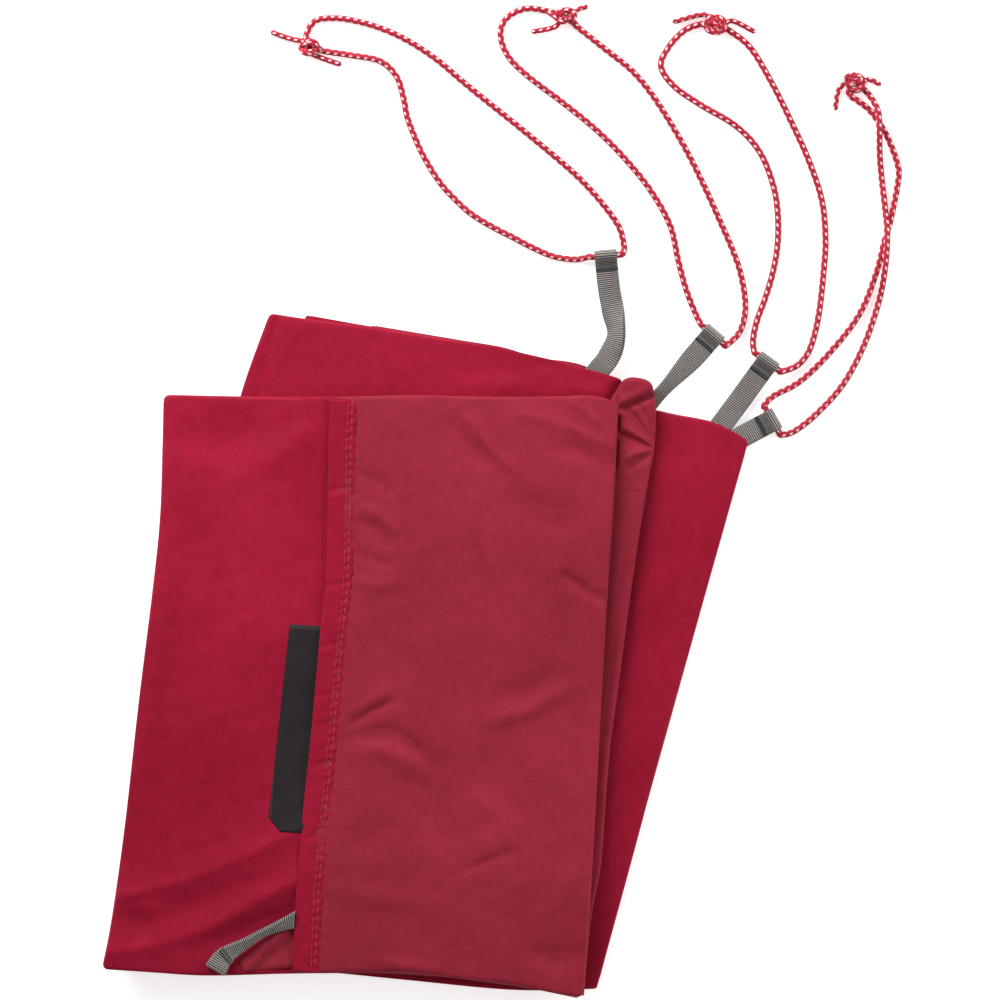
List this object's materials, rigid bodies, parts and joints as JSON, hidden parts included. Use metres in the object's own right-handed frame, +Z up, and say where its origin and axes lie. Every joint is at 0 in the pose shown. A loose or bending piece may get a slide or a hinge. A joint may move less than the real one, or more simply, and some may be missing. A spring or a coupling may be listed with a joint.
{
  "type": "folded tent footprint",
  "caption": "Tent groundsheet of coated cloth folded flat into a fanned stack, with a hemmed flap, a plain patch, webbing tab straps and tied loops of accessory cord.",
  "frame": {"origin": "centre of the folded stack's and straps' footprint, on the surface that it lies on (the cords are left out)", "axes": "+Z up from the ground, through the layers; +Y from the stack's bottom crease towards its straps; +X across the stack, towards the fanned side"},
  "size_m": [0.3356, 0.4176, 0.0205],
  "materials": {
    "face_cloth": "coated polyester, smooth with a soft sheen",
    "back_cloth": "uncoated polyester, matt fine weave",
    "webbing": "ribbed grey webbing",
    "bartack_thread": "dense dark stitching",
    "cord": "braided accessory cord with pale reflective flecks",
    "patch_print": "flat dark print on the cloth",
    "sewing_thread": "sewing thread"
  },
  "bodies": {
    "lower_packet": {"ground_panel": "face_cloth", "lower_layers": "face_cloth", "inner_fold_a": "back_cloth", "inner_fold_b": "face_cloth", "lower_top_panel": "face_cloth", "middle_layers": "back_cloth", "gathered_corner": "back_cloth"},
    "upper_packet": {"back_panel": "face_cloth", "upper_layers": "back_cloth", "face_panel": "face_cloth", "printed_patch": "patch_print", "tie_out_corner": "back_cloth"},
    "flap": {"flap_panel": "back_cloth", "flap_hem": "face_cloth", "hem_thread_outer": "sewing_thread", "hem_thread_inner": "sewing_thread"},
    "strap_body_1": {"strap_1": "webbing", "bartack_1": "bartack_thread"},
    "strap_body_2": {"strap_2": "webbing", "bartack_2": "bartack_thread"},
    "strap_body_3": {"strap_3": "webbing", "bartack_3": "bartack_thread"},
    "strap_body_4": {"strap_4": "webbing", "bartack_4": "bartack_thread"},
    "strap_body_5": {"strap_5": "webbing", "bartack_5": "bartack_thread"},
    "cord_body_1": {"cord_1": "cord", "knot_1": "cord"},
    "cord_body_2": {"cord_2": "cord", "knot_2": "cord"},
    "cord_body_3": {"cord_3": "cord", "knot_3": "cord"},
    "cord_body_4": {"cord_4": "cord", "knot_4": "cord"}
  },
  "joints": [
    {"name": "packet_fold", "type": "hinge", "parent": "lower_packet", "child": "upper_packet", "pos_m": [-0.04238, -0.15251, 0.01035], "axis": [0.9982, -0.0593, 0], "range_deg": [0, 180]},
    {"name": "flap_fold", "type": "hinge", "parent": "upper_packet", "child": "flap", "pos_m": [0.06621, -0.03274, 0.01465], "axis": [0.0593, 0.9982, 0], "range_deg": [0, 180]},
    {"name": "strap_1_lift", "type": "hinge", "parent": "lower_packet", "child": "strap_body_1", "pos_m": [0.06497, 0.10568, 0.0066], "axis": [0.9641, -0.2656, 0], "range_deg": [0, 90]},
    {"name": "strap_2_lift", "type": "hinge", "parent": "lower_packet", "child": "strap_body_2", "pos_m": [0.09127, 0.09633, 0.00602], "axis": [0.735, -0.678, 0], "range_deg": [0, 60]},
    {"name": "strap_3_lift", "type": "hinge", "parent": "lower_packet", "child": "strap_body_3", "pos_m": [0.11723, 0.0834, 0.0036], "axis": [0.9692, -0.2462, 0], "range_deg": [0, 90]},
    {"name": "strap_4_lift", "type": "hinge", "parent": "lower_packet", "child": "strap_body_4", "pos_m": [0.12658, 0.07854, 0.0036], "axis": [0.7164, -0.6977, 0], "range_deg": [0, 60]},
    {"name": "strap_5_lift", "type": "hinge", "parent": "upper_packet", "child": "strap_body_5", "pos_m": [-0.06296, -0.12454, 0.0171], "axis": [-0.0593, -0.9982, 0], "range_deg": [-90, 0]},
    {"name": "cord_1_swing", "type": "hinge", "parent": "strap_body_1", "child": "cord_body_1", "pos_m": [0.0683, 0.15414, 0.0026], "axis": [-0.9962, -0.0873, 0], "range_deg": [-90, 0]},
    {"name": "cord_2_swing", "type": "hinge", "parent": "strap_body_2", "child": "cord_body_2", "pos_m": [0.1134, 0.12091, 0.0026], "axis": [-0.7608, 0.649, 0], "range_deg": [-90, 0]},
    {"name": "cord_3_swing", "type": "hinge", "parent": "strap_body_3", "child": "cord_body_3", "pos_m": [0.13633, 0.10944, 0.0026], "axis": [-0.8082, 0.5888, 0], "range_deg": [-90, 0]},
    {"name": "cord_4_swing", "type": "hinge", "parent": "strap_body_4", "child": "cord_body_4", "pos_m": [0.13826, 0.08488, 0.0026], "axis": [-0.4953, 0.8688, 0], "range_deg": [-90, 0]}
  ]
}
